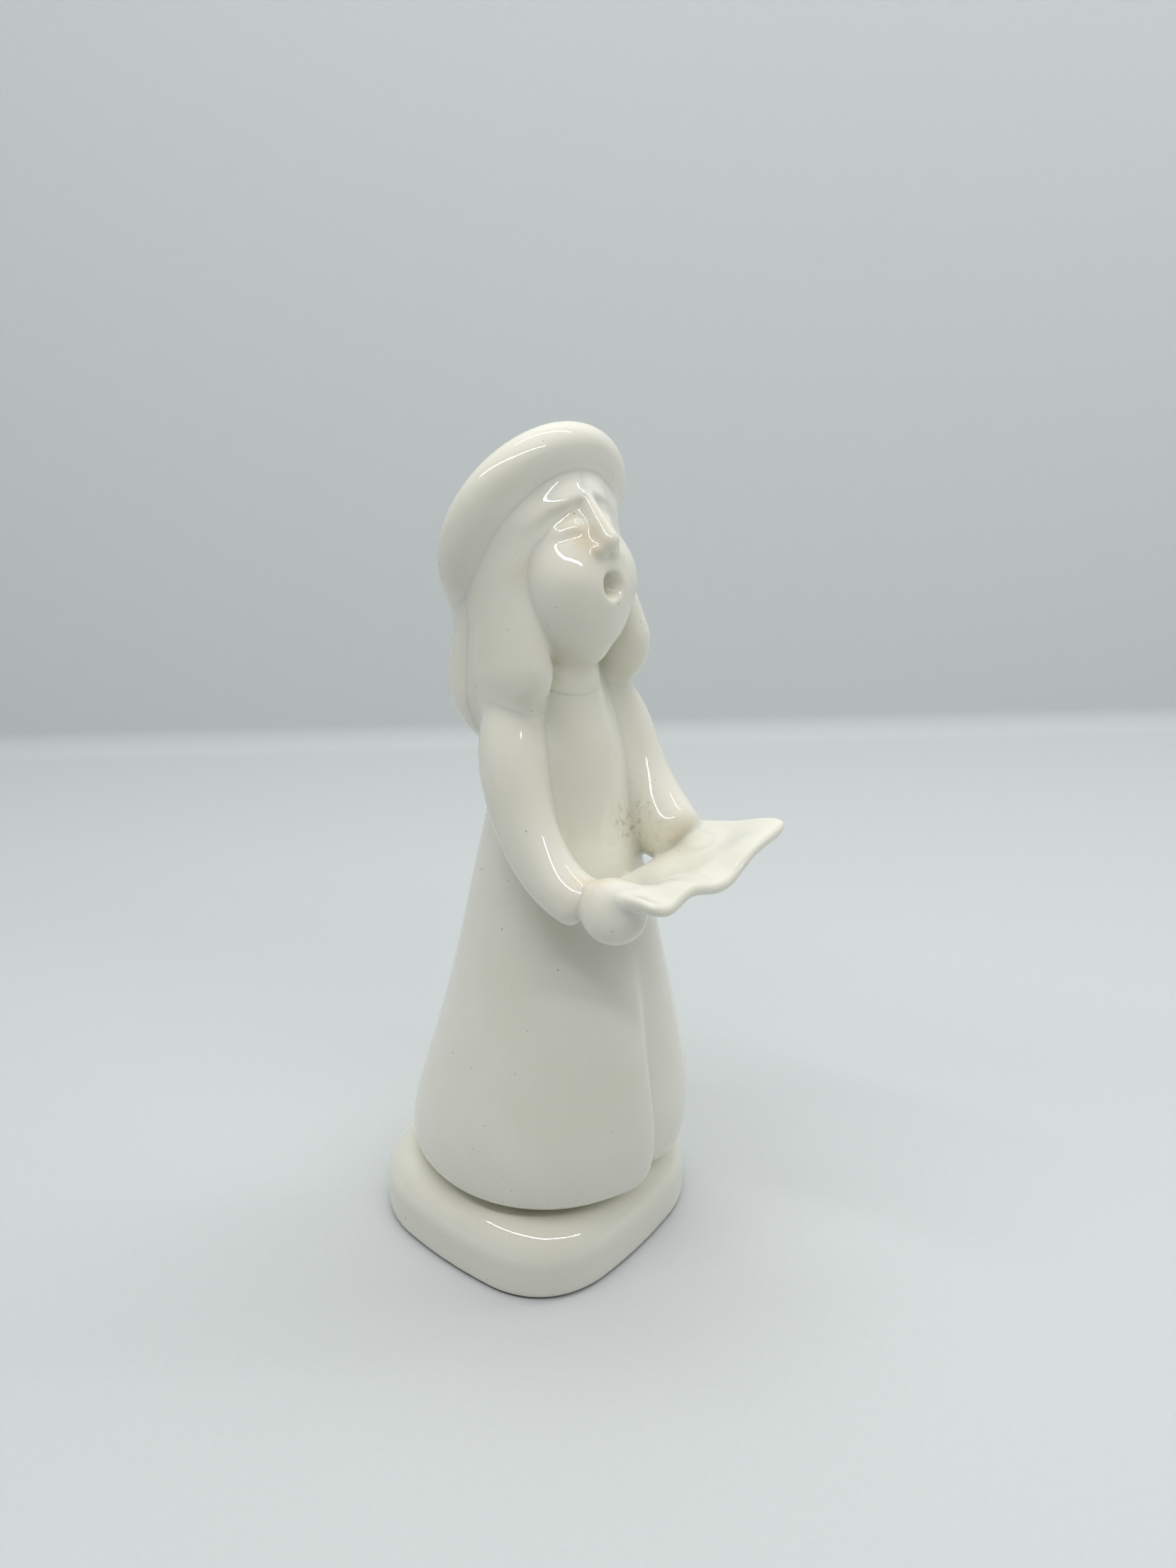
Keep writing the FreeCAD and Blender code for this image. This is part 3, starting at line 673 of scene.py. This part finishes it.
def piece_quads(label, number, wanted):
    """Four corners' numbers for each face between two labels, turned outwards from each wanted piece."""
    quads = {name: [] for name in wanted}
    for axis in range(3):
        u, v = (axis + 1) % 3, (axis + 2) % 3
        a = [slice(1, -1)] * 3
        b = [slice(1, -1)] * 3
        a[axis] = slice(0, -1)
        b[axis] = slice(1, None)
        before = label[tuple(a)]
        after = label[tuple(b)]
        where = np.argwhere(before != after)
        before = before[tuple(where.T)]
        after = after[tuple(where.T)]
        cell = where + 1
        cell[:, axis] -= 1
        ring = []
        for du, dv in ((-1, -1), (0, -1), (0, 0), (-1, 0)):
            c = cell.copy()
            c[:, u] += du
            c[:, v] += dv
            ring.append(number[tuple(c.T)])
        ring = np.stack(ring, axis=1)
        for name in wanted:
            m = PIECES.index(name) + 1
            quads[name].append(ring[before == m])
            quads[name].append(ring[after == m][:, ::-1])
    return {name: np.concatenate(parts) for name, parts in quads.items()}


def mesh_group(low, high, step, wanted):
    """One closed mesh for each wanted piece. Neighbours share the corners along their seam."""
    g = Grid(low, high, step * COARSE)
    own, outside = figure(g)
    # 0 is outside the figure, and 1 up are the pieces in their order
    label = np.argmin(own, axis=0).astype(np.int8) + 1
    label[outside > 0] = 0
    mixed = mixed_cells(label)
    cells = np.argwhere(mixed)
    number = np.full(mixed.shape, -1, np.int32)
    number[mixed] = np.arange(len(cells))
    tags = corner_values(label, cells)
    slopes = np.gradient(outside, g.step)
    q, skin = first_corners(cells, tags, corner_values(outside, cells))
    q = settle(q, skin, tags, own, outside, slopes, g.step)
    normals = np.zeros_like(q)
    normals[skin] = unit(sample_slope(slopes, q[skin]))
    soft = blur(outside, POOL_SOFTNESS / g.step)
    bend = sum(np.gradient(np.gradient(soft, g.step, axis=a), g.step, axis=a) for a in range(3))
    hollow = -sample(bend, q)
    points = g.low + q * g.step
    return {name: finish_mesh(name, points, normals, hollow, quads)
            for name, quads in piece_quads(label, number, wanted).items()}


# place in mm, spread in mm, strength
OCHRE = [((1.1, -10.8, 115.9), 1.9, 0.9), ((-0.6, -8.6, 118.6), 1.2, 0.5), ((-8.6, -20.4, 70.8), 2.4, 0.8),
         ((-6.5, -21.5, 72.4), 1.8, 0.5), ((11.5, -17.0, 71.8), 2.2, 0.8), ((-5.6, -5.2, 112.0), 1.3, 0.4)]
DIRT = [((8.6, -12.6, 72.5), 3.0, 0.9), ((10.5, -15.0, 71.0), 2.2, 0.8), ((5.5, -12.5, 73.5), 1.5, 0.4),
        ((-2.6, -7.0, 97.5), 2.0, 0.35), ((6.2, -10.4, 119.8), 1.0, 0.8)]


def spots(points, places):
    return sum(strength * np.exp(-((points - np.array(centre)) ** 2).sum(1) / (2 * spread ** 2))
               for centre, spread, strength in places)


def finish_mesh(name, points, normals, hollow, quads):
    """A mesh object of the quads, with its corners' normals and what the glaze needs at each corner."""
    used, faces = np.unique(quads, return_inverse=True)
    faces = faces.reshape(-1, 4)
    mesh = bpy.data.meshes.new("fig_" + name)
    mesh.vertices.add(len(used))
    mesh.vertices.foreach_set("co", (points[used] * MM).astype(np.float32).ravel())
    mesh.loops.add(len(faces) * 4)
    mesh.loops.foreach_set("vertex_index", faces.astype(np.int32).ravel())
    mesh.polygons.add(len(faces))
    mesh.polygons.foreach_set("loop_start", np.arange(0, len(faces) * 4, 4, dtype=np.int32))
    mesh.polygons.foreach_set("loop_total", np.full(len(faces), 4, np.int32))
    mesh.polygons.foreach_set("use_smooth", np.ones(len(faces), bool))
    mesh.update()
    mesh.validate()
    mesh.normals_split_custom_set_from_vertices(normals[used].tolist())
    at_corners = {
        "hollow": hollow[used],
        "ochre": spots(points[used], OCHRE),
        "dirt": spots(points[used], DIRT),
    }
    for title, values in at_corners.items():
        layer = mesh.attributes.new(title, "FLOAT", "POINT")
        layer.data.foreach_set("value", values.astype(np.float32))
    piece = bpy.data.objects.new("glazed_" + name, mesh)
    bpy.context.scene.collection.objects.link(piece)
    return piece


# the box, the distance between samples and the pieces of each group; the finest group has the face in it
GROUPS = [
    ((-25, -26, -1), (28.5, 27, 98), 0.43, ["base", "robe"]),
    ((-15, -35, 61), (23, 4, 96), 0.3,
     ["sleeve_right", "sleeve_left", "hand_right", "hand_left", "song_sheet"]),
    ((-14, -16.5, 78), (21.5, 15.5, 132.5), 0.27, ["head", "halo", "hair_back", "hair_right", "hair_left"]),
]
made = {}
for group in GROUPS:
    made.update(mesh_group(*group))

# ------------------------------------------------------------------ glaze

IVORY, DEEP_IVORY = (0.80, 0.79, 0.70), (0.775, 0.768, 0.665)
# the colour of the hollows: partly pooled glaze, partly painted shade
POOLED_GLAZE_AND_SHADE = (0.64, 0.62, 0.50)
OCHRE_STAIN = (0.70, 0.56, 0.36)
SOOT, SMEAR = (0.36, 0.33, 0.24), (0.60, 0.57, 0.44)
IRON = (0.14, 0.12, 0.09)
# bare clay underneath, also used as a painted contact shadow along the base's bottom edge
BARE_CLAY_AND_SHADOW = (0.20, 0.17, 0.14)
RIPPLE_DEPTH = 0.0003
RIPPLE_STRENGTH = 0.03
GLAZE_SHADER = {
    "Specular IOR Level": 0.0,
    "Subsurface Weight": 0.25,
    "Subsurface Radius": (1.0, 0.85, 0.6),
    "Subsurface Scale": 0.0015,
    "Coat Weight": 1.0,
    "Coat Roughness": 0.03,
    "Coat IOR": 1.5,
}


class Nodes:
    """A material's nodes, in short calls. Places are in metres, and a noise's scale is waves per metre."""

    def __init__(self, name):
        self.material = bpy.data.materials.new(name)
        self.material.use_nodes = True
        self.tree = self.material.node_tree
        self.shader = self.tree.nodes["Principled BSDF"]
        self.object = self.add("ShaderNodeTexCoord").outputs["Object"]

    def add(self, kind, **values):
        node = self.tree.nodes.new(kind)
        for key, value in values.items():
            setattr(node, key, value)
        return node

    def link(self, a, b):
        self.tree.links.new(a, b)

    def attribute(self, name):
        return self.add("ShaderNodeAttribute", attribute_name=name).outputs["Fac"]

    def noise(self, scale, detail=3.0, rough=0.5):
        node = self.add("ShaderNodeTexNoise")
        node.inputs["Scale"].default_value = scale
        node.inputs["Detail"].default_value = detail
        node.inputs["Roughness"].default_value = rough
        self.link(self.object, node.inputs["Vector"])
        return node.outputs["Fac"]

    def ramp(self, value, low, high, to_low=0.0, to_high=1.0):
        node = self.add("ShaderNodeMapRange", interpolation_type="SMOOTHSTEP")
        for key, number in (("From Min", low), ("From Max", high), ("To Min", to_low), ("To Max", to_high)):
            node.inputs[key].default_value = number
        self.link(value, node.inputs["Value"])
        return node.outputs["Result"]

    def math(self, operation, a, b):
        node = self.add("ShaderNodeMath", operation=operation)
        for i, v in enumerate((a, b)):
            if isinstance(v, float):
                node.inputs[i].default_value = v
            else:
                self.link(v, node.inputs[i])
        return node.outputs[0]

    def blend(self, fac, a, b):
        """From a, a colour or a socket, to the colour b, by the socket fac."""
        node = self.add("ShaderNodeMix", data_type="RGBA")
        self.link(fac, node.inputs[0])
        if isinstance(a, tuple):
            node.inputs[6].default_value = (*a, 1)
        else:
            self.link(a, node.inputs[6])
        node.inputs[7].default_value = (*b, 1)
        return node.outputs[2]


def glaze_colour(n):
    """Ivory that goes darker in the hollows, partly as pooled glaze and partly as painted shade, with ochre
    flushes, smears of dirt and iron specks.
    """
    colour = n.blend(n.ramp(n.noise(60.0), 0.35, 0.65), IVORY, DEEP_IVORY)
    # painted shade and pooled glaze: hollows are darkened towards this colour
    hollows = n.ramp(n.attribute("hollow"), 0.0, 0.9)
    uneven = n.ramp(n.noise(300.0), 0.2, 0.7, 0.5, 1.0)
    colour = n.blend(n.math("MULTIPLY", hollows, uneven), colour, POOLED_GLAZE_AND_SHADE)
    flecked = n.ramp(n.noise(520.0, 4.0, 0.65), 0.30, 0.70, 0.15, 0.75)
    colour = n.blend(n.math("MULTIPLY", n.attribute("ochre"), flecked), colour, OCHRE_STAIN)
    dirt = n.attribute("dirt")
    grains = n.ramp(n.noise(900.0, 5.0, 0.7), 0.50, 0.72)
    colour = n.blend(n.math("MULTIPLY", dirt, grains), colour, SOOT)
    colour = n.blend(n.math("MULTIPLY", dirt, 0.25), colour, SMEAR)
    specks = n.math("MULTIPLY", n.ramp(n.noise(1300.0, 1.0), 0.79, 0.81), 0.6)
    return n.blend(specks, colour, IRON)


def clay_foot_and_shadow(n, colour):
    """Bare clay on the underside, and a painted contact shadow as a dark band with a ragged edge just above
    it.
    """
    height = n.add("ShaderNodeSeparateXYZ")
    n.link(n.object, height.inputs[0])
    # painted contact shadow: dark up to about 0.6 mm above the table, with a ragged top
    ragged = n.math("ADD", height.outputs["Z"], n.math("MULTIPLY", n.noise(250.0), -0.0006))
    return n.blend(n.ramp(ragged, 0.0002, 0.0006, 1.0, 0.0), colour, BARE_CLAY_AND_SHADOW)


def glaze(name):
    n = Nodes(name)
    colour = glaze_colour(n)
    if name == "glaze_foot":
        colour = clay_foot_and_shadow(n, colour)
    n.link(colour, n.shader.inputs["Base Color"])
    ripple = n.add("ShaderNodeBump")
    ripple.inputs["Strength"].default_value = RIPPLE_STRENGTH
    ripple.inputs["Distance"].default_value = RIPPLE_DEPTH
    n.link(n.noise(380.0, 3.0, 0.5), ripple.inputs["Height"])
    n.link(ripple.outputs["Normal"], n.shader.inputs["Normal"])
    n.link(ripple.outputs["Normal"], n.shader.inputs["Coat Normal"])
    n.link(n.ramp(n.noise(150.0), 0.3, 0.7, 0.30, 0.40), n.shader.inputs["Roughness"])
    for key, value in GLAZE_SHADER.items():
        n.shader.inputs[key].default_value = value
    return n.material


SLOTS = {"base": "glaze_foot", "head": "glaze_stained", "hand_right": "glaze_stained"}
materials = {slot: glaze(slot) for slot in ("glaze", "glaze_stained", "glaze_foot")}
for name, piece in made.items():
    slot = SLOTS.get(name, "glaze")
    piece.data.materials.append(materials[slot])
    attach(piece, "root")
    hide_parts(name)

# ------------------------------------------------------------------ stage

AZIMUTH = math.radians(-47)
RIGHT = Vector((math.cos(AZIMUTH), math.sin(AZIMUTH), 0))
AWAY = Vector((-math.sin(AZIMUTH), math.cos(AZIMUTH), 0))

# the paper lies flat, bends up in a quarter circle and goes on as a wall
WALL_AWAY = 0.235
WALL_BEND = 0.008
WALL_HEIGHTS = (0.25, 0.6)
WALL_SLANT = 0.07
FLOOR_AWAY = (-1.6, -0.8, 0.0)
ACROSS = (-1.6, -0.5, 0.0, 0.5, 1.6)
BEND_STEPS = 12
PAPER, PALE_PAPER = (0.63, 0.655, 0.655), (0.66, 0.69, 0.69)


def stage_point(across, away, height):
    """A point by its place right of, beyond and above the figure as the camera sees it."""
    return RIGHT * across + AWAY * away + Vector((0, 0, height))


def paper():
    n = Nodes("backdrop_paper")
    n.link(n.blend(n.noise(900.0, 4.0), PAPER, PALE_PAPER), n.shader.inputs["Base Color"])
    n.shader.inputs["Roughness"].default_value = 0.85
    n.shader.inputs["Specular IOR Level"].default_value = 0.2
    return n.material


def backdrop():
    profile = [(away, 0.0) for away in FLOOR_AWAY]
    for i in range(BEND_STEPS + 1):
        a = math.pi / 2 * i / BEND_STEPS
        away = WALL_AWAY - WALL_BEND + WALL_BEND * math.sin(a)
        profile.append((away, WALL_BEND - WALL_BEND * math.cos(a)))
    profile += [(WALL_AWAY, height) for height in WALL_HEIGHTS]
    verts = [stage_point(across, away + across * WALL_SLANT, height)
             for away, height in profile for across in ACROSS]
    row = len(ACROSS)
    starts = [i * row + j for i in range(len(profile) - 1) for j in range(row - 1)]
    faces = [(a, a + 1, a + row + 1, a + row) for a in starts]
    mesh = bpy.data.meshes.new("backdrop")
    mesh.from_pydata(verts, [], faces)
    mesh.polygons.foreach_set("use_smooth", [True] * len(faces))
    sheet = bpy.data.objects.new("backdrop", mesh)
    bpy.context.scene.collection.objects.link(sheet)
    mesh.materials.append(paper())


backdrop()

# ------------------------------------------------------------------ lights

FIGURE = (0, 0, 0.06)
# name, place as in stage_point, the lamp's two sides, power; each faces the figure
SOFT_LIGHTS = [
    ("ceiling_front", (0, -0.20, 0.60), 0.5, 0.5, 0.36),
    ("side_left", (-0.45, 0, 0.20), 0.5, 0.4, 0.28),
    ("side_right", (0.45, 0, 0.20), 0.5, 0.4, 0.22),
    ("side_back_right", (0.40, 0.15, 0.35), 0.3, 0.3, 0.38),
]
# name, the two ends as in stage_point, width, power; no other lamp shows in the gloss
STRIPS = [
    ("strip_left", (-0.34, -0.07, 0.42), (0.02, -0.25, 0.42), 0.022, 0.50),
    ("strip_near", (0.02, -0.25, 0.42), (0.40, -0.27, 0.42), 0.022, 0.50),
    ("strip_far", (-0.10, 0.05, 0.46), (0.34, 0.09, 0.46), 0.018, 0.27),
]


def area(name, place, target, wide, tall, power):
    data = bpy.data.lights.new(name, "AREA")
    data.shape = "RECTANGLE"
    data.size = wide
    data.size_y = tall
    data.energy = power
    lamp = bpy.data.objects.new(name, data)
    lamp.location = place
    lamp.rotation_euler = (Vector(target) - Vector(place)).to_track_quat("-Z", "Y").to_euler()
    lamp.visible_glossy = False
    bpy.context.scene.collection.objects.link(lamp)
    return lamp


def strip(name, start, end, wide, power):
    """A thin tube of light between two points, shining at the figure."""
    start = stage_point(*start)
    end = stage_point(*end)
    lamp = area(name, (start + end) / 2, FIGURE, (end - start).length, wide, power)
    lamp.visible_glossy = True
    x = (end - start).normalized()
    z = lamp.location - Vector(FIGURE)
    z = (z - x * z.dot(x)).normalized()
    lamp.rotation_euler = Matrix((x, z.cross(x), z)).transposed().to_euler()


# this one shines straight down on the floor behind the figure
area("ceiling_back", stage_point(0, 0.08, 0.60), stage_point(0, 0.08, 0), 0.5, 0.4, 1.12)
for name, place, wide, tall, power in SOFT_LIGHTS:
    area(name, stage_point(*place), FIGURE, wide, tall, power)
for light in STRIPS:
    strip(*light)

world = bpy.data.worlds.new("room")
world.use_nodes = True
room = world.node_tree.nodes["Background"]
room.inputs["Color"].default_value = (0.93, 0.97, 1.0, 1)
room.inputs["Strength"].default_value = 0.11
bpy.context.scene.world = world

# ------------------------------------------------------------------ camera

EYE = Vector((-0.114, -0.1181, 0.1443))
# from looking straight down
CAMERA_TILT = math.radians(68)

lens = bpy.data.cameras.new("camera")
lens.lens = 27.03
lens.sensor_width = 36
lens.clip_start = 0.005
lens.clip_end = 10
camera = bpy.data.objects.new("camera", lens)
camera.location = EYE
camera.rotation_euler = (CAMERA_TILT, 0, AZIMUTH)
bpy.context.scene.collection.objects.link(camera)
bpy.context.scene.camera = camera
bpy.context.scene.view_settings.view_transform = "Standard"
